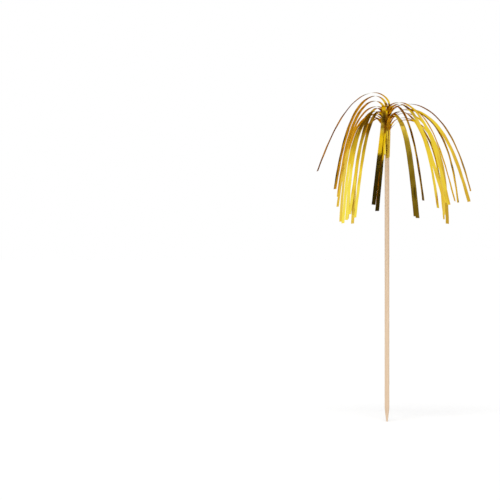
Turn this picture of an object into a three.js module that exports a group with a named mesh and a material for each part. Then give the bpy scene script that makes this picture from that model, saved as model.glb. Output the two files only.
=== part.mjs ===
// Firework cocktail pick: a pointed wooden stick with gold foil film wound round its top end.
//
// The film is one strip. Its lower band stays whole and is wound into a sleeve of several turns,
// each a little lower and a little wider than the last. Its upper band is slit into strands, which
// leave the sleeve's stepped top edge, curl outwards and droop round the stick like a firework.
// A band of double-sided tape under the first turn holds the film on the wood.
//
// Millimetres, +Z up. The origin is the middle of the stick's blunt point. A bearing is an angle
// about the stick: 0 points along +X and it grows towards +Y. The photograph looks along +Y.

import * as THREE from 'three';

// Wooden stick
const stickLength = 200;
const stickDiameter = 3;
const stickSides = 24;
const pointLength = 9;
const pointDiameter = 0.9; // the flat at the very end
const pointBulge = 0.8; // 1 is a straight cone, less is fuller
const pointSteps = 5;
const topChamfer = 0.3;

// Double-sided tape round the top of the stick
const tapeThickness = 0.1;
const tapeWidth = 12;
const tapeInset = 2; // from the top of the stick down to the tape
const tapeOpenSides = 1; // sides of the stick left bare where the tape's ends don't meet
const glueGap = 0.02; // between the wood, the tape and the film

// Film strip
const filmThickness = 0.05;
const sleeveHeight = 17; // the band that isn't slit
const windGap = 0.04; // air between one turn and the next
const windDrop = 2.7; // how far each turn sits below the last
const sleeveTaperRise = 0.5; // height above the first turn's lower edge where the taper ends
const uprightSlope = 90; // degrees, the slope of the film where a strand leaves it
const seamBearing = -120; // where the film's outer end lies

// Strands
const strandWidth = 2.5;
const strandLength = 90;
const strandColumns = 5; // facets across a strand where it leaves the sleeve
const strandRows = 18;
const rootRows = 2; // rows that still have all the facets
const rowSpread = 1.5; // above 1 puts more rows near the root, where the bend is tight
const peelLength = 1.2; // over which a strand leaves the upright film below it
const riseShare = 0.35; // of its root's depth below the top, where the inner turns hold it up
const flattenLength = 6; // over which its curved section turns flat
const sweepLength = 4; // over which it turns to its final bearing
const curlLength = 20; // over which a strand with a curl of 1 bends over
const twistLength = 45; // over which it twists about its own middle line
const pathSteps = 12; // steps between rows when a path is added up

// How each strand hangs, as seen in the photograph, from the film's inner end outwards.
// sweep: degrees that it turns sideways, from where it leaves the sleeve.
// launch and droop: degrees above the horizontal near its root and towards its end.
// curl: how slowly it bends from the one to the other, in curlLengths. twist: degrees at its end.
// veer: degrees that it goes on turning sideways, from its root to its end.
const strandPoses = [
  { sweep: 28.5, launch: 79, droop: -79.4, curl: 1.1, twist: 0, veer: 0 },
  { sweep: 122, launch: 88, droop: -68, curl: 1.15, twist: -15, veer: 0 },
  { sweep: 28, launch: 52, droop: -76, curl: 0.9, twist: 14, veer: 0 },
  { sweep: 57.2, launch: 27, droop: -80, curl: 1.3, twist: -10, veer: -28.5 },
  { sweep: -4.2, launch: 69, droop: -81, curl: 1.075, twist: 0, veer: 0 },
  { sweep: 10, launch: 46, droop: -75, curl: 1.12, twist: 32, veer: 0 },
  { sweep: -22, launch: 66.5, droop: -68, curl: 0.7, twist: 12, veer: 0 },
  { sweep: 13, launch: 24, droop: -76, curl: 1.1, twist: -4, veer: -18 },
  { sweep: 65, launch: 46, droop: -78, curl: 0.82, twist: 8, veer: -12 },
  { sweep: 34.4, launch: 62.5, droop: -81, curl: 0.95, twist: -10, veer: 0 },
  { sweep: -14, launch: 62, droop: -80, curl: 1.28, twist: -8, veer: 0 },
  { sweep: 19, launch: 70, droop: -75, curl: 0.88, twist: -8, veer: 0 },
  { sweep: 10, launch: 42, droop: -80, curl: 0.85, twist: 8, veer: -14 },
  { sweep: -32, launch: 54, droop: -86, curl: 0.85, twist: -10, veer: 0 },
  { sweep: 0, launch: 66, droop: -76, curl: 1.1, twist: 80, veer: 0 },
  { sweep: -21, launch: 58, droop: -77, curl: 1.05, twist: 50, veer: 0 },
  { sweep: 4, launch: 46.7, droop: -81, curl: 1.1, twist: -10, veer: 0 },
  { sweep: -5, launch: 48, droop: -84, curl: 0.85, twist: 2, veer: 0 },
  { sweep: -23, launch: 50, droop: -86, curl: 0.85, twist: 0, veer: 0 },
  { sweep: -4, launch: 46, droop: -88, curl: 0.95, twist: 80, veer: 0 },
  { sweep: -11.5, launch: 66, droop: -87, curl: 1.17, twist: -12, veer: 0 },
  { sweep: 26, launch: 60, droop: -90, curl: 0.98, twist: 25, veer: 0 },
  { sweep: 50.5, launch: 68, droop: -79, curl: 0.72, twist: 20, veer: 0 },
  { sweep: 46, launch: 50, droop: -84, curl: 0.8, twist: 0, veer: 0 },
  { sweep: 13, launch: 50, droop: -86, curl: 0.85, twist: 0, veer: 0 },
  { sweep: -23, launch: 54, droop: -86, curl: 0.92, twist: 0, veer: 0 },
  { sweep: 18, launch: 44, droop: -90, curl: 0.98, twist: 55, veer: 0 },
  { sweep: 24, launch: 70, droop: -79, curl: 0.7, twist: 10, veer: 0 },
];

const finishes = {
  wood: { color: 0xe2c4a5, roughness: 0.75, metalness: 0 },
  tape: { color: 0xefe9d8, roughness: 0.6, metalness: 0 },
  film: { color: 0xe8c545, roughness: 0.2, metalness: 1 },
};

// Sizes that follow from the ones above
const stickRadius = stickDiameter / 2;
const tapeInside = stickRadius + glueGap;
const tapeOutside = tapeInside + tapeThickness;
const tapeSides = stickSides - tapeOpenSides;
const turnPitch = filmThickness + windGap;
const sleeveRadius = tapeOutside + glueGap + turnPitch / 2;
const filmRun = strandPoses.length * strandWidth;
const sleeveTop = stickLength;
const taperEnd = sleeveTop - sleeveHeight + sleeveTaperRise;

const toRadians = THREE.MathUtils.degToRad;
const fullTurn = 2 * Math.PI;

function radialAt(bearing) {
  return new THREE.Vector3(Math.cos(bearing), Math.sin(bearing), 0);
}

// Where the film lies at a distance along it from its inner end: how far it has wound, the radius
// of the middle of its thickness, the bearing and the height of its top edge. It winds clockwise
// seen from above.
function windingAngle(run) {
  const growth = turnPitch / fullTurn;
  return (Math.sqrt(sleeveRadius ** 2 + 2 * growth * run) - sleeveRadius) / growth;
}

function windingAt(run) {
  const angle = windingAngle(run);
  const turns = angle / fullTurn;
  return {
    radius: sleeveRadius + turnPitch * turns,
    bearing: toRadians(seamBearing) + windingAngle(filmRun) - angle,
    top: sleeveTop - windDrop * turns,
  };
}

// A row is a line of points across a sheet, given on its front and on its back.
function rowOfPoints(middles, normals) {
  const half = filmThickness / 2;
  return {
    front: middles.map((point, i) => point.clone().addScaledVector(normals[i], half)),
    back: middles.map((point, i) => point.clone().addScaledVector(normals[i], -half)),
  };
}

// Lists the triangles of the band between two lines of corners, which may differ in number.
function bandTriangles(lower, upper) {
  const triangles = [];
  let i = 0;
  let j = 0;
  while (i < lower.length - 1 || j < upper.length - 1) {
    const lowerNext = (i + 1) / (lower.length - 1);
    const upperNext = (j + 1) / (upper.length - 1);
    if (j === upper.length - 1 || (i < lower.length - 1 && lowerNext <= upperNext)) {
      triangles.push([lower[i], upper[j], lower[i + 1]]);
      i += 1;
    } else {
      triangles.push([lower[i], upper[j], upper[j + 1]]);
      j += 1;
    }
  }
  return triangles;
}

// Makes one closed body of a thin sheet from its rows, bottom to top. Seen from the front, each
// row runs from right to left. The back has the front's triangles turned over, so that the sheet
// keeps its thickness where it twists.
function sheetGeometry(rows) {
  const points = [];
  const triangles = [];
  const place = (point) => points.push(point) - 1;
  const fill = (lower, upper) => triangles.push(...bandTriangles(lower, upper));
  const corners = rows.map((row) => ({ front: row.front.map(place), back: row.back.map(place) }));
  for (let j = 0; j < corners.length - 1; j += 1) {
    const lower = corners[j];
    const upper = corners[j + 1];
    fill(lower.front, upper.front);
    triangles.push(...bandTriangles(lower.back, upper.back).map((triangle) => triangle.reverse()));
    fill([lower.back[0], lower.front[0]], [upper.back[0], upper.front[0]]);
    fill([lower.front.at(-1), lower.back.at(-1)], [upper.front.at(-1), upper.back.at(-1)]);
  }
  fill(corners[0].back, corners[0].front);
  fill(corners.at(-1).front, corners.at(-1).back);
  const geometry = new THREE.BufferGeometry().setFromPoints(points);
  geometry.setIndex(triangles.flat());
  geometry.computeVertexNormals();
  return geometry;
}

function stickGeometry() {
  const profile = [new THREE.Vector2(0, 0)];
  for (let i = 0; i <= pointSteps; i += 1) {
    const share = i / pointSteps;
    const radius = THREE.MathUtils.lerp(pointDiameter / 2, stickRadius, share ** pointBulge);
    profile.push(new THREE.Vector2(radius, share * pointLength));
  }
  profile.push(new THREE.Vector2(stickRadius, stickLength - topChamfer));
  profile.push(new THREE.Vector2(stickRadius - topChamfer, stickLength));
  profile.push(new THREE.Vector2(0, stickLength));
  return new THREE.LatheGeometry(profile, stickSides).rotateX(Math.PI / 2);
}

// The tape is wound once. Its sides lie on those of the stick, and its ends leave one side open.
function tapeGeometry() {
  const corner = (radius, z, i) => radialAt((-i * fullTurn) / stickSides).multiplyScalar(radius).setZ(z);
  const top = stickLength - tapeInset;
  const rows = [top - tapeWidth, top].map((z) => {
    const across = Array.from({ length: tapeSides + 1 }, (_, i) => i);
    return {
      front: across.map((i) => corner(tapeOutside, z, i)),
      back: across.map((i) => corner(tapeInside, z, i)),
    };
  });
  return sheetGeometry(rows);
}

// The unslit band. Below taperEnd each turn leans in to the tape, because no inner turn lies there.
function sleeveGeometry() {
  const columns = Array.from({ length: strandPoses.length * strandColumns + 1 }, (_, i) =>
    windingAt((i * strandWidth) / strandColumns),
  );
  const normals = columns.map((column) => radialAt(column.bearing));
  const rowAt = (radiusOf, heightOf) =>
    rowOfPoints(
      columns.map((column, i) => normals[i].clone().multiplyScalar(radiusOf(column)).setZ(heightOf(column))),
      normals,
    );
  return sheetGeometry([
    rowAt(() => sleeveRadius, (column) => column.top - sleeveHeight),
    rowAt((column) => column.radius, () => taperEnd),
    rowAt((column) => column.radius, (column) => column.top),
  ]);
}

// Grows from 0 to 1, gently at both ends, over a length of a strand.
function eased(distance, length) {
  return THREE.MathUtils.smoothstep(distance, 0, length);
}

// The middle line of a strand and the directions across it, at a distance from its root.
function strandFrame(strand, distance) {
  const curlLeft = Math.exp(-Math.max(distance - strand.rise, 0) / (strand.curl * curlLength));
  const peelLeft = Math.exp(-distance / peelLength);
  const slope = toRadians(
    THREE.MathUtils.lerp(strand.droop, strand.launch, curlLeft) + (uprightSlope - strand.launch) * peelLeft,
  );
  const turned = strand.sweep * eased(distance, sweepLength) + strand.veer * eased(distance, strandLength);
  const bearing = strand.bearing + toRadians(turned);
  const twist = toRadians(strand.twist) * eased(distance, twistLength);
  const outward = radialAt(bearing);
  const level = new THREE.Vector3(outward.y, -outward.x, 0);
  const under = outward.clone().multiplyScalar(Math.sin(slope)).setZ(-Math.cos(slope));
  return {
    along: outward.multiplyScalar(Math.cos(slope)).setZ(Math.sin(slope)),
    across: level.clone().multiplyScalar(Math.cos(twist)).addScaledVector(under, Math.sin(twist)),
    normal: under.multiplyScalar(Math.cos(twist)).addScaledVector(level, -Math.sin(twist)),
  };
}

// A strand starts as the arc of film below it and eases into a flat ribbon.
function strandGeometry(index) {
  const root = Array.from({ length: strandColumns + 1 }, (_, i) =>
    windingAt((index + i / strandColumns) * strandWidth),
  );
  const rootNormals = root.map((column) => radialAt(column.bearing));
  const rootPoints = root.map((column, i) =>
    rootNormals[i].clone().multiplyScalar(column.radius).setZ(column.top),
  );
  const centre = windingAt(index * strandWidth + strandWidth / 2);
  const rootMiddle = radialAt(centre.bearing).multiplyScalar(centre.radius).setZ(centre.top);
  const strand = {
    ...strandPoses[index],
    bearing: centre.bearing,
    rise: riseShare * (sleeveTop - centre.top),
  };
  const middle = rootMiddle.clone();
  const rows = [];
  let done = 0;
  for (let j = 0; j <= strandRows; j += 1) {
    const distance = strandLength * (j / strandRows) ** rowSpread;
    const step = (distance - done) / pathSteps;
    for (let k = 0; k < pathSteps && step > 0; k += 1) {
      middle.addScaledVector(strandFrame(strand, done + k * step + step / 2).along, step);
    }
    done = distance;
    const frame = strandFrame(strand, distance);
    const flat = eased(distance, flattenLength);
    const used = j <= rootRows ? root.map((_, i) => i) : [0, strandColumns];
    const normals = used.map((i) => rootNormals[i].clone().lerp(frame.normal, flat).normalize());
    const middles = used.map((i) => {
      const arc = rootPoints[i].clone().sub(rootMiddle);
      const ribbon = frame.across.clone().multiplyScalar((i * strandWidth) / strandColumns - strandWidth / 2);
      return arc.lerp(ribbon, flat).add(middle);
    });
    rows.push(rowOfPoints(middles, normals));
  }
  return sheetGeometry(rows);
}

function namedMesh(name, geometry, material) {
  const mesh = new THREE.Mesh(geometry, material);
  mesh.name = name;
  return mesh;
}

const wood = new THREE.MeshStandardMaterial(finishes.wood);
const tape = new THREE.MeshStandardMaterial(finishes.tape);
const film = new THREE.MeshStandardMaterial(finishes.film);

const pick = new THREE.Group();
pick.add(namedMesh('stick', stickGeometry(), wood));
pick.add(namedMesh('adhesive_tape', tapeGeometry(), tape));
pick.add(namedMesh('film_sleeve', sleeveGeometry(), film));
strandPoses.forEach((_, index) => {
  const number = String(index + 1).padStart(2, '0');
  pick.add(namedMesh(`strand_${number}`, strandGeometry(index), film));
});

export default pick;
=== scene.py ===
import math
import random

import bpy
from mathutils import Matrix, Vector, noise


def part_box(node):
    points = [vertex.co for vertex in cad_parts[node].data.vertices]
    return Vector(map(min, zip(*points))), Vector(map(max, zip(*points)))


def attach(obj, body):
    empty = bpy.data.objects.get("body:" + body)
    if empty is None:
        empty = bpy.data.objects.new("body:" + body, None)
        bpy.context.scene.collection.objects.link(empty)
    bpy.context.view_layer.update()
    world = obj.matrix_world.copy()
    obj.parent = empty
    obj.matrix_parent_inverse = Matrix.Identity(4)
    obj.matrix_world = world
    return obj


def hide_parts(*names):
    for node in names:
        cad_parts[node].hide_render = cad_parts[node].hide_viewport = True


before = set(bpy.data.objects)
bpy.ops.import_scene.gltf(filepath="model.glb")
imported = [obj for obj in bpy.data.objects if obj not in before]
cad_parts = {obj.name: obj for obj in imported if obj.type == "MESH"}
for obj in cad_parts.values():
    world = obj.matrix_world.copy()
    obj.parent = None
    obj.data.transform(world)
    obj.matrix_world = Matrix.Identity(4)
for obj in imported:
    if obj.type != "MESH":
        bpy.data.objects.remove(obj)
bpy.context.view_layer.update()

# Looks of a firework cocktail pick: a pointed wooden stick with slit gold film wound round its top.
#
# The film is one strip. Its lower band is the wound sleeve and its upper band is slit into strands.
# Lengths of the pick are written in millimetres and turned into metres where a mesh is made. The
# floor, the cards and the materials use metres. Named angles are in degrees. A bearing is an angle
# about the stick: 0 points along +X, it grows towards +Y, and the camera looks along +Y.

MM = 0.001
BODY = "root"
SHARP_ANGLE = 40.0  # from which an edge isn't shaded smooth

# Film strip, as wound round the stick
TAPE_OUTSIDE_RADIUS = 1.62
GLUE_GAP = 0.02
FILM_THICKNESS = 0.05
WIND_GAP = 0.04
WIND_DROP = 2.7  # from turn to turn
SLEEVE_HEIGHT = 17.0
SLEEVE_TAPER_RISE = 0.5
SEAM_BEARING = -120.0  # of the film's outer end
SLEEVE_ROWS = 30
SLEEVE_COLUMNS = 8  # for each strand's width

# Strands
STRAND_WIDTH = 2.5
STRAND_LENGTH = 90.0
STRAND_COLUMNS = 6
STRAND_ROWS = 76
ROW_SPREAD = 1.5  # above 1, the rows lie closer together near the root
PEEL_LENGTH = 1.2
RISE_SHARE = 0.35  # of the height of the film above a root, where the inner turns hold a strand up
FLATTEN_LENGTH = 6.0
SWEEP_LENGTH = 4.0
CURL_LENGTH = 20.0
TWIST_LENGTH = 45.0
PATH_STEPS = 4  # from row to row
UPRIGHT = 90.0

# Small shapes in the film
PLEAT_DEPTH = 0.035
PLEATS_ROUND = 9
WIDE_PLEATS_ROUND = 5
PLEAT_LENGTH = 24.0
CUP_DEPTH = 0.05
CUP_MEAN = 0.6  # this and the swing are shares of the depth
CUP_SWING = 0.7
CUP_WAVE = 31.0
TWIST_WOBBLE = 3.0
TWIST_WAVE = 23.0
SLOPE_WOBBLE = 1.5
SLOPE_WAVE = 11.0
SETTLE_LENGTH = 14.0  # from the root until the small shapes have their full size
TIP_SLANT = 0.35
TIP_LENGTH = 1.0

# Stick
POINT_LENGTH = 9.0
POINT_DIAMETER = 0.9
POINT_BULGE = 0.8  # power of the taper's profile, 1 for a plain cone
POINT_ROWS = 24
TOP_CHAMFER = 0.3
STICK_SIDES = 64
STICK_ROWS = 60
STICK_WANDER = 0.012
WANDER_ROUND = 2.0
WANDER_LENGTH = 16.0

# Each strand, from the film's inner end outwards: degrees that it sweeps sideways from its root,
# degrees above the horizontal near its root and towards its end, how slowly it bends from the one
# to the other in curl lengths, degrees that it twists, and degrees that it goes on turning sideways
STRAND_POSES = [
    (28.5, 79, -79.4, 1.1, 0, 0),
    (122, 88, -68, 1.15, -15, 0),
    (28, 52, -76, 0.9, 14, 0),
    (57.2, 27, -80, 1.3, -10, -28.5),
    (-4.2, 69, -81, 1.075, 0, 0),
    (10, 46, -75, 1.12, 32, 0),
    (-22, 66.5, -68, 0.7, 12, 0),
    (13, 24, -76, 1.1, -4, -18),
    (65, 46, -78, 0.82, 8, -12),
    (34.4, 62.5, -81, 0.95, -10, 0),
    (-14, 62, -80, 1.28, -8, 0),
    (19, 70, -75, 0.88, -8, 0),
    (10, 42, -80, 0.85, 8, -14),
    (-32, 54, -86, 0.85, -10, 0),
    (0, 66, -76, 1.1, 80, 0),
    (-21, 58, -77, 1.05, 50, 0),
    (4, 46.7, -81, 1.1, -10, 0),
    (-5, 48, -84, 0.85, 2, 0),
    (-23, 50, -86, 0.85, 0, 0),
    (-4, 46, -88, 0.95, 80, 0),
    (-11.5, 66, -87, 1.17, -12, 0),
    (26, 60, -90, 0.98, 25, 0),
    (50.5, 68, -79, 0.72, 20, 0),
    (46, 50, -84, 0.8, 0, 0),
    (13, 50, -86, 0.85, 0, 0),
    (-23, 54, -86, 0.92, 0, 0),
    (18, 44, -90, 0.98, 55, 0),
    (24, 70, -79, 0.7, 10, 0),
]

# Photograph: 500 pixels each way, the stick's axis and the tip of its point in them
PHOTO_PIXELS = 500
PHOTO_AXIS_X = 387.0
PHOTO_TIP_Y = 421.5
MM_PER_PIXEL = 0.637
CAMERA_DISTANCE = 1800.0

# Light
WORLD_AMBIENT = 0.66
SUN_STRENGTH = 1.3
SUN_WIDTH = 34.0
SUN_TILT = 42.0
SUN_TURN = -10.0
FLOOR_WHITE = 0.86
FLOOR_GLOW = 0.2
FLOOR_SIZE = 60.0

# Cards that stand for the room that the foil mirrors: azimuths and elevations in degrees, and the
# colours of the lower and the upper edge
BLACK = (0.035, 0.03, 0.025)
DARK_BROWN = (0.09, 0.05, 0.02)
BROWN = (0.22, 0.12, 0.04)
BRIGHT = (1.05, 1.08, 0.62)
CARDS = {
    "roof_middle": ((-180, 180), (80, 90), DARK_BROWN, BLACK),
    "roof_brown": ((-110, 28), (58, 80), (0.42, 0.3, 0.12), DARK_BROWN),
    "right_roof": ((28, 150), (58, 80), (0.62, 0.6, 0.42), (0.6, 0.5, 0.24)),
    "left_ceiling": ((-110, -8), (43, 58), (0.2, 0.13, 0.05), DARK_BROWN),
    "front_ceiling": ((150, 250), (66, 80), (0.25, 0.17, 0.07), DARK_BROWN),
    "front_softbox": ((168, 250), (46, 66), (1.1, 0.98, 0.15), (1.0, 0.92, 0.1)),
    "camera_side": ((174, 246), (-9, 46), BLACK, BLACK),
    "front_wall": ((124, 174), (18, 58), (0.17, 0.14, 0.06), (0.62, 0.6, 0.42)),
    "room_wall": ((124, 174), (-9, 18), (0.15, 0.11, 0.05), (0.17, 0.14, 0.06)),
    "sleeve_glint": ((170, 194), (-9, 8), BRIGHT, BRIGHT),
    "left_softbox": ((246, 300), (-12, 18), (1.25, 1.5, 1.7), (1.15, 1.3, 1.1)),
    "left_glow": ((246, 300), (18, 43), (1.1, 1.05, 0.45), (0.25, 0.15, 0.02)),
    "right_softbox": ((62, 100), (18, 50), BRIGHT, BRIGHT),
    "right_window": ((62, 82), (9, 18), (0.8, 0.8, 0.5), BRIGHT),
    "right_upper": ((100, 118), (36, 55), BRIGHT, BRIGHT),
    "right_wall": ((100, 124), (-9, 36), (0.6, 0.5, 0.33), (1.0, 0.9, 0.6)),
    "back_wall": ((-14, 14), (-24, 36), (0.45, 0.3, 0.16), (0.55, 0.42, 0.3)),
    "back_door": ((-8, 12), (-10, 14), BLACK, BLACK),
    "amber_table": ((14, 112), (-72, -18), (0.5, 0.28, 0.05), (0.8, 0.52, 0.12)),
    "far_table": ((14, 52), (-18, -7), BROWN, BROWN),
    "brown_table": ((-110, 14), (-72, -24), BROWN, BROWN),
    "middle_table": ((-25, -14), (-24, -7), (0.3, 0.19, 0.08), (0.45, 0.32, 0.16)),
    "left_table": ((-66, -36), (-24, -17), DARK_BROWN, DARK_BROWN),
    "front_table": ((112, 250), (-60, -10), (0.25, 0.15, 0.05), (0.33, 0.22, 0.1)),
    "left_corner": ((-66, -46), (-17, -11), DARK_BROWN, DARK_BROWN),
    "side_table": ((-46, -36), (-17, -7), (0.6, 0.5, 0.25), (0.9, 0.8, 0.5)),
    "pale_table": ((-36, -25), (-24, -7), (0.5, 0.4, 0.2), (0.9, 0.8, 0.5)),
}
CARD_DISTANCE = 1.2
CARD_SPACING = 0.01  # by which each card hangs nearer than the one before it, and so covers it
CARD_STEPS = 12
CARD_LIFT = 0.002  # over the floor, for the part of a card that would lie below it
HEAD_CENTRE = Vector((0, 0, 0.17))

# Sizes that follow from the ones above
stick_low, stick_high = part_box("stick")
STICK_LENGTH = (stick_high[2] - stick_low[2]) / MM
STICK_RADIUS = (stick_high[0] - stick_low[0]) / 2 / MM
TURN_PITCH = FILM_THICKNESS + WIND_GAP
SLEEVE_RADIUS = TAPE_OUTSIDE_RADIUS + GLUE_GAP + TURN_PITCH / 2
FILM_RUN = len(STRAND_POSES) * STRAND_WIDTH
TAPER_END = STICK_LENGTH - SLEEVE_HEIGHT + SLEEVE_TAPER_RISE
FULL_TURN = 2 * math.pi


def lerp(a, b, share):
    return a + (b - a) * share


def smoothstep(value, end):
    share = min(max(value / end, 0.0), 1.0)
    return share * share * (3 - 2 * share)


def radial(bearing):
    return Vector((math.cos(bearing), math.sin(bearing), 0.0))


def winding_angle(run):
    growth = TURN_PITCH / FULL_TURN
    return (math.sqrt(SLEEVE_RADIUS**2 + 2 * growth * run) - SLEEVE_RADIUS) / growth


def winding_at(run):
    """Radius, bearing and top edge of the film at a distance along it from its inner end."""
    angle = winding_angle(run)
    turns = angle / FULL_TURN
    radius = SLEEVE_RADIUS + TURN_PITCH * turns
    bearing = math.radians(SEAM_BEARING) + winding_angle(FILM_RUN) - angle
    return radius, bearing, STICK_LENGTH - WIND_DROP * turns


def pleat(bearing, z):
    """How far the wound film stands out or in at a place. All turns share it, so none cross."""
    lean = FULL_TURN * z / PLEAT_LENGTH
    narrow = math.sin(PLEATS_ROUND * bearing + math.sin(lean))
    wide = math.sin(WIDE_PLEATS_ROUND * bearing - lean / 2)
    return PLEAT_DEPTH * (narrow + wide)


def mesh_object(name, points, faces, material):
    """Makes a mesh object from points in metres."""
    mesh = bpy.data.meshes.new(name)
    mesh.from_pydata(points, [], faces)
    mesh.materials.append(material)
    piece = bpy.data.objects.new(name, mesh)
    bpy.context.scene.collection.objects.link(piece)
    return piece


def smooth_object(name, points, faces, uvs, material):
    """Makes a smooth piece from points in mm. uvs holds one pair for each point, or is None."""
    piece = mesh_object(name, [tuple(p * MM for p in point) for point in points], faces, material)
    mesh = piece.data
    if uvs:
        layer = mesh.uv_layers.new(name="film")
        for loop in mesh.loops:
            layer.data[loop.index].uv = uvs[loop.vertex_index]
    mesh.shade_smooth()
    mesh.set_sharp_from_angle(angle=math.radians(SHARP_ANGLE))
    mesh.validate()
    return piece


def film_sheet(name, rows, material):
    """Makes one closed thin sheet. A row is a list of (middle, normal, uv) across the sheet."""
    half = FILM_THICKNESS / 2
    points, uvs = [], []
    for side in (half, -half):
        for row in rows:
            points += [middle + normal * side for middle, normal, _ in row]
            uvs += [uv for _, _, uv in row]
    across, along = len(rows[0]), len(rows)
    back = across * along

    def corner(j, i):
        return j * across + i

    faces = []
    for j in range(along - 1):
        for i in range(across - 1):
            a, b = corner(j, i), corner(j, i + 1)
            c, d = corner(j + 1, i + 1), corner(j + 1, i)
            faces.append((a, d, c, b))
            faces.append((back + a, back + b, back + c, back + d))
    for i in range(across - 1):
        a, b = corner(0, i), corner(0, i + 1)
        faces.append((a, b, back + b, back + a))
        a, b = corner(along - 1, i), corner(along - 1, i + 1)
        faces.append((b, a, back + a, back + b))
    for j in range(along - 1):
        a, b = corner(j, 0), corner(j + 1, 0)
        faces.append((b, a, back + a, back + b))
        a, b = corner(j, across - 1), corner(j + 1, across - 1)
        faces.append((a, b, back + b, back + a))
    return smooth_object(name, points, faces, uvs, material)


def strand_frame(pose, character, rise, root_bearing, distance):
    """Directions along and across a strand and its normal, at a distance from its root."""
    sweep, launch, droop, curl, twist, veer = pose
    settled = smoothstep(distance, SETTLE_LENGTH)
    curl_left = math.exp(-max(distance - rise, 0.0) / (curl * CURL_LENGTH))
    peel_left = math.exp(-distance / PEEL_LENGTH)
    slope = lerp(droop, launch, curl_left) + (UPRIGHT - launch) * peel_left
    slope += settled * SLOPE_WOBBLE * math.sin(FULL_TURN * distance / SLOPE_WAVE + character["slope"])
    slope = math.radians(slope)
    turned = twist * smoothstep(distance, TWIST_LENGTH)
    turned += settled * TWIST_WOBBLE * math.sin(FULL_TURN * distance / TWIST_WAVE + character["twist"])
    turned = math.radians(turned)
    bearing = root_bearing + math.radians(sweep) * smoothstep(distance, SWEEP_LENGTH)
    bearing += math.radians(veer) * smoothstep(distance, STRAND_LENGTH)
    outward = radial(bearing)
    level = Vector((outward.y, -outward.x, 0.0))
    under = outward * math.sin(slope) - Vector((0, 0, math.cos(slope)))
    along = outward * math.cos(slope) + Vector((0, 0, math.sin(slope)))
    across = level * math.cos(turned) + under * math.sin(turned)
    normal = under * math.cos(turned) - level * math.sin(turned)
    return along, across, normal


def strand_rows(index):
    """Rows of a strand, which starts as the arc of film below it and eases into a flat ribbon."""
    pose = STRAND_POSES[index]
    dice = random.Random(index + 1)
    character = {key: dice.uniform(0, FULL_TURN) for key in ("slope", "twist", "cup")}
    slant = dice.uniform(-TIP_SLANT, TIP_SLANT)
    shares = [i / STRAND_COLUMNS for i in range(STRAND_COLUMNS + 1)]
    root = []
    for share in shares:
        radius, bearing, top = winding_at((index + share) * STRAND_WIDTH)
        outward = radial(bearing)
        root.append((outward * (radius + pleat(bearing, top)) + Vector((0, 0, top)), outward))
    radius, bearing, top = winding_at((index + 0.5) * STRAND_WIDTH)
    start = radial(bearing) * (radius + pleat(bearing, top)) + Vector((0, 0, top))
    rise = RISE_SHARE * (STICK_LENGTH - top)
    middle = start.copy()
    rows, done = [], 0.0
    for j in range(STRAND_ROWS + 1):
        distance = STRAND_LENGTH * (j / STRAND_ROWS) ** ROW_SPREAD
        step = (distance - done) / PATH_STEPS
        for k in range(PATH_STEPS):
            middle += strand_frame(pose, character, rise, bearing, done + (k + 0.5) * step)[0] * step
        done = distance
        along, across, normal = strand_frame(pose, character, rise, bearing, distance)
        flat = smoothstep(distance, FLATTEN_LENGTH)
        settled = smoothstep(distance, SETTLE_LENGTH)
        wave = CUP_MEAN + CUP_SWING * math.sin(FULL_TURN * distance / CUP_WAVE + character["cup"])
        cup = settled * CUP_DEPTH * wave
        end = smoothstep(distance - STRAND_LENGTH + TIP_LENGTH, TIP_LENGTH)
        row = []
        for share, (point, outward) in zip(shares, root):
            side = share - 0.5
            arch = 1 - 4 * side * side  # 1 in the middle and 0 at the edges
            ribbon = across * side * STRAND_WIDTH + normal * cup * arch
            ribbon += along * slant * side * end
            place = middle + (point - start).lerp(ribbon, flat)
            facing = outward.lerp(normal, flat).normalized()
            row.append((place, facing, (share * STRAND_WIDTH * MM, distance * MM)))
        rows.append(row)
    return rows


def sleeve_rows():
    """Rows of the unslit band. Below TAPER_END each turn leans in, as no inner turn lies there."""
    columns = len(STRAND_POSES) * SLEEVE_COLUMNS
    rows = []
    for j in range(SLEEVE_ROWS + 1):
        row = []
        for i in range(columns + 1):
            run = i * FILM_RUN / columns
            radius, bearing, top = winding_at(run)
            bottom = top - SLEEVE_HEIGHT
            z = lerp(bottom, top, j / SLEEVE_ROWS)
            if z < TAPER_END:
                radius = lerp(SLEEVE_RADIUS, radius, (z - bottom) / (TAPER_END - bottom))
            outward = radial(bearing)
            place = outward * (radius + pleat(bearing, z)) + Vector((0, 0, z))
            row.append((place, outward, (run * MM, (z - bottom) * MM)))
        rows.append(row)
    return rows


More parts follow.
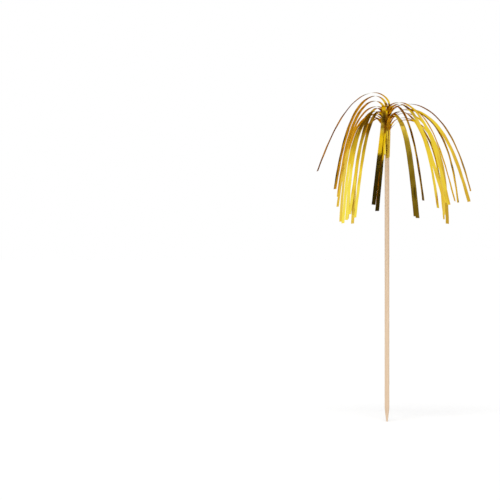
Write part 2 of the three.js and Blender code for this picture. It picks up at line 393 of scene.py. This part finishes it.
def stick_mesh(name, material):
    """Turned stick with a bulged taper, a small flat at its point and a chamfered top end."""
    profile = []
    for i in range(POINT_ROWS + 1):
        share = i / POINT_ROWS
        radius = lerp(POINT_DIAMETER / 2, STICK_RADIUS, share**POINT_BULGE)
        profile.append((radius, share * POINT_LENGTH))
    chamfer_start = STICK_LENGTH - TOP_CHAMFER
    for i in range(1, STICK_ROWS + 1):
        profile.append((STICK_RADIUS, lerp(POINT_LENGTH, chamfer_start, i / STICK_ROWS)))
    profile.append((STICK_RADIUS - TOP_CHAMFER, STICK_LENGTH))
    points = []
    for radius, z in profile:
        for side in range(STICK_SIDES):
            outward = radial(side * FULL_TURN / STICK_SIDES)
            wander_place = outward * WANDER_ROUND + Vector((0, 0, z / WANDER_LENGTH))
            wander = noise.noise(wander_place)
            place = outward * min(radius + STICK_WANDER * wander, STICK_RADIUS)
            points.append(place + Vector((0, 0, z)))
    faces = [tuple(reversed(range(STICK_SIDES)))]
    for j in range(len(profile) - 1):
        for side in range(STICK_SIDES):
            a = j * STICK_SIDES + side
            b = j * STICK_SIDES + (side + 1) % STICK_SIDES
            faces.append((a, b, b + STICK_SIDES, a + STICK_SIDES))
    last = (len(profile) - 1) * STICK_SIDES
    faces.append(tuple(range(last, last + STICK_SIDES)))
    return smooth_object(name, points, faces, None, material)


class Nodes:
    """A material's node tree, with short calls to add and join its nodes."""

    def __init__(self, name):
        self.material = bpy.data.materials.new(name)
        self.material.use_nodes = True
        self.tree = self.material.node_tree
        self.tree.nodes.clear()
        self.output = self.tree.nodes.new("ShaderNodeOutputMaterial")

    def add(self, kind, **settings):
        node = self.tree.nodes.new(kind)
        for key, value in settings.items():
            setattr(node, key, value)
        return node

    def put(self, node, **inputs):
        """Sets sockets by name, with _ for a space, to a value or to a linked output."""
        for key, value in inputs.items():
            socket = node.inputs[key.replace("_", " ")]
            if isinstance(value, bpy.types.NodeSocket):
                self.tree.links.new(value, socket)
            else:
                socket.default_value = value
        return node

    def coordinates(self, source, scale):
        """Texture coordinates, with a scale on each axis in waves for each metre."""
        place = self.add("ShaderNodeTexCoord").outputs[source]
        mapping = self.put(self.add("ShaderNodeMapping"), Vector=place, Scale=scale)
        return mapping.outputs["Vector"]

    def noise(self, vector, detail=3.0, roughness=0.5):
        node = self.add("ShaderNodeTexNoise")
        self.put(node, Vector=vector, Scale=1.0, Detail=detail, Roughness=roughness)
        return node.outputs["Fac"]

    def ramp(self, value, stops):
        """Colours or greys at places from 0 to 1."""
        node = self.add("ShaderNodeValToRGB")
        elements = node.color_ramp.elements
        while len(elements) < len(stops):
            elements.new(1.0)
        for element, (place, colour) in zip(elements, stops):
            element.position = place
            element.color = (*colour, 1.0)
        self.put(node, Fac=value)
        return node.outputs["Color"]

    def mix(self, first, second, share):
        """Blends two numbers, by a share of the second. The node's sockets 0, 2 and 3 are those
        for plain numbers."""
        node = self.add("ShaderNodeMix", data_type="FLOAT")
        self.tree.links.new(first, node.inputs[2])
        self.tree.links.new(second, node.inputs[3])
        node.inputs[0].default_value = share
        return node.outputs[0]

    def spread(self, value, low, high):
        """Maps 0 to 1 to a range."""
        node = self.add("ShaderNodeMapRange")
        self.put(node, Value=value, To_Min=low, To_Max=high)
        return node.outputs["Result"]

    def bump(self, height, strength, distance):
        node = self.add("ShaderNodeBump")
        self.put(node, Height=height, Strength=strength, Distance=distance)
        return node.outputs["Normal"]

    def finish(self, shader, socket):
        self.tree.links.new(shader.outputs[socket], self.output.inputs["Surface"])
        return self.material


def film_material():
    """Metallised gold film: a mirror with drawn lines along it and shallow creases."""
    n = Nodes("gold_film")
    tone = n.noise(n.coordinates("UV", scale=(260, 45, 1)))
    lines = n.noise(n.coordinates("UV", scale=(2600, 40, 1)), detail=2.0)
    creases = n.noise(n.coordinates("UV", scale=(300, 110, 1)), detail=1.0)
    colour = n.ramp(tone, [(0.3, (0.76, 0.53, 0.062)), (0.7, (0.85, 0.62, 0.09))])
    relief = n.mix(lines, creases, share=0.7)
    shader = n.add("ShaderNodeBsdfPrincipled")
    n.put(
        shader,
        Base_Color=colour,
        Metallic=1.0,
        Specular_Tint=(0.62, 0.34, 0.12, 1.0),
        Roughness=n.spread(lines, low=0.12, high=0.2),
        Normal=n.bump(relief, strength=0.07, distance=0.00006),
    )
    return n.finish(shader, "BSDF")


def wood_material():
    """Pale sanded birch with fine grain along the stick."""
    n = Nodes("pale_birch")
    broad = n.noise(n.coordinates("Object", scale=(900, 900, 14)))
    fine = n.noise(n.coordinates("Object", scale=(4200, 4200, 55)), detail=5.0, roughness=0.65)
    grain = n.mix(broad, fine, share=0.55)
    colour = n.ramp(
        grain, [(0.3, (0.60, 0.40, 0.25)), (0.46, (0.77, 0.565, 0.39)), (0.7, (0.86, 0.68, 0.50))]
    )
    shader = n.add("ShaderNodeBsdfPrincipled")
    n.put(
        shader,
        Base_Color=colour,
        Roughness=n.spread(fine, low=0.55, high=0.78),
        Normal=n.bump(fine, strength=0.4, distance=0.00012),
    )
    return n.finish(shader, "BSDF")


def tape_material():
    """Matt cream double-sided tape."""
    n = Nodes("cream_tape")
    mottle = n.noise(n.coordinates("Object", scale=(1500, 1500, 1500)))
    colour = n.ramp(mottle, [(0.3, (0.80, 0.74, 0.60)), (0.7, (0.90, 0.86, 0.75))])
    shader = n.add("ShaderNodeBsdfPrincipled")
    n.put(
        shader,
        Base_Color=colour,
        Roughness=n.spread(mottle, low=0.5, high=0.7),
        Normal=n.bump(mottle, strength=0.2, distance=0.00005),
    )
    return n.finish(shader, "BSDF")


def show(piece, node):
    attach(piece, BODY)
    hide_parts(node)


def seen_directly(tree):
    """1 for rays from the camera, a mirror or a clear surface, and 0 for those of soft light."""
    path = tree.nodes.new("ShaderNodeLightPath")
    total = path.outputs["Is Camera Ray"]
    for other in ("Is Glossy Ray", "Is Transmission Ray"):
        add = tree.nodes.new("ShaderNodeMath")
        add.operation = "ADD"
        tree.links.new(total, add.inputs[0])
        tree.links.new(path.outputs[other], add.inputs[1])
        total = add.outputs[0]
    return total


def make_world():
    world = bpy.data.worlds.new("studio")
    world.use_nodes = True
    tree = world.node_tree
    background = tree.nodes["Background"]
    level = tree.nodes.new("ShaderNodeMapRange")
    level.inputs["To Min"].default_value = WORLD_AMBIENT
    level.inputs["To Max"].default_value = 1.0
    tree.links.new(seen_directly(tree), level.inputs["Value"])
    tree.links.new(level.outputs["Result"], background.inputs["Strength"])
    background.inputs["Color"].default_value = (1.0, 1.0, 1.0, 1.0)
    bpy.context.scene.world = world


def make_floor():
    n = Nodes("white_floor")
    diffuse = n.put(n.add("ShaderNodeBsdfDiffuse"), Color=(FLOOR_WHITE,) * 3 + (1.0,))
    glow = n.add("ShaderNodeEmission")
    strength = n.spread(seen_directly(n.tree), low=0.0, high=FLOOR_GLOW)
    n.put(glow, Strength=strength)
    both = n.add("ShaderNodeAddShader")
    n.tree.links.new(diffuse.outputs["BSDF"], both.inputs[0])
    n.tree.links.new(glow.outputs["Emission"], both.inputs[1])
    material = n.finish(both, "Shader")
    half = FLOOR_SIZE / 2
    corners = [(-half, -half, 0), (half, -half, 0), (half, half, 0), (-half, half, 0)]
    floor = mesh_object("floor", corners, [(0, 1, 2, 3)], material)


def card(name, distance, azimuths, elevations, low, high):
    """A curved card that shows only in mirror reflections. Its angles are those seen from the head
    of the pick: azimuth 0 lies behind it, 90 to its right and 180 at the camera."""
    columns = rows = CARD_STEPS
    points, shades = [], []
    for j in range(rows + 1):
        elevation = math.radians(lerp(*elevations, j / rows))
        level = math.cos(elevation)
        reach = distance
        if elevation < 0:
            reach = min(reach, (HEAD_CENTRE.z - CARD_LIFT) / math.sin(-elevation))
        shade = [lerp(a, b, j / rows) for a, b in zip(low, high)]
        for i in range(columns + 1):
            azimuth = math.radians(lerp(*azimuths, i / columns))
            towards = Vector((math.sin(azimuth) * level, math.cos(azimuth) * level, math.sin(elevation)))
            points.append(tuple(HEAD_CENTRE + towards * reach))
            shades += [*shade, 1.0]
    faces = []
    for j in range(rows):
        for i in range(columns):
            a = j * (columns + 1) + i
            faces.append((a, a + 1, a + columns + 2, a + columns + 1))
    n = Nodes(name)
    colour = (*low, 1.0)
    if low != high:
        colour = n.add("ShaderNodeAttribute", attribute_name="shade").outputs["Color"]
    glow = n.put(n.add("ShaderNodeEmission"), Color=colour)
    piece = mesh_object(name, points, faces, n.finish(glow, "Emission"))
    colours = piece.data.color_attributes.new("shade", "FLOAT_COLOR", "POINT")
    colours.data.foreach_set("color", shades)
    piece.visible_camera = False
    piece.visible_diffuse = False
    piece.visible_shadow = False
    piece.visible_transmission = False


def make_lights():
    sun = bpy.data.lights.new("key", "SUN")
    sun.energy = SUN_STRENGTH
    sun.angle = math.radians(SUN_WIDTH)
    lamp = bpy.data.objects.new("key", sun)
    lamp.rotation_euler = (math.radians(SUN_TILT), math.radians(SUN_TURN), 0)
    lamp.visible_glossy = False
    bpy.context.scene.collection.objects.link(lamp)
    for order, (name, settings) in enumerate(CARDS.items()):
        card(name, CARD_DISTANCE - order * CARD_SPACING, *settings)


def make_camera():
    lens = bpy.data.cameras.new("camera")
    view_width = PHOTO_PIXELS * MM_PER_PIXEL
    lens.lens = lens.sensor_width * CAMERA_DISTANCE / view_width
    lens.clip_end = FLOOR_SIZE
    camera = bpy.data.objects.new("camera", lens)
    x = (PHOTO_PIXELS / 2 - PHOTO_AXIS_X) * MM_PER_PIXEL
    z = (PHOTO_TIP_Y - PHOTO_PIXELS / 2) * MM_PER_PIXEL
    camera.location = (x * MM, -CAMERA_DISTANCE * MM, z * MM)
    camera.rotation_euler = (math.pi / 2, 0, 0)
    bpy.context.scene.collection.objects.link(camera)
    bpy.context.scene.camera = camera


make_camera()
make_world()
make_floor()
make_lights()

film = film_material()
wood = wood_material()
tape = tape_material()

show(stick_mesh("wooden_stick", wood), "stick")
show(film_sheet("wound_film", sleeve_rows(), film), "film_sleeve")
for index in range(len(STRAND_POSES)):
    number = f"{index + 1:02d}"
    ribbon = film_sheet(f"film_strand_{number}", strand_rows(index), film)
    show(ribbon, f"strand_{number}")
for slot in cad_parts["adhesive_tape"].material_slots:
    slot.material = tape

bpy.context.scene.view_settings.view_transform = "Standard"
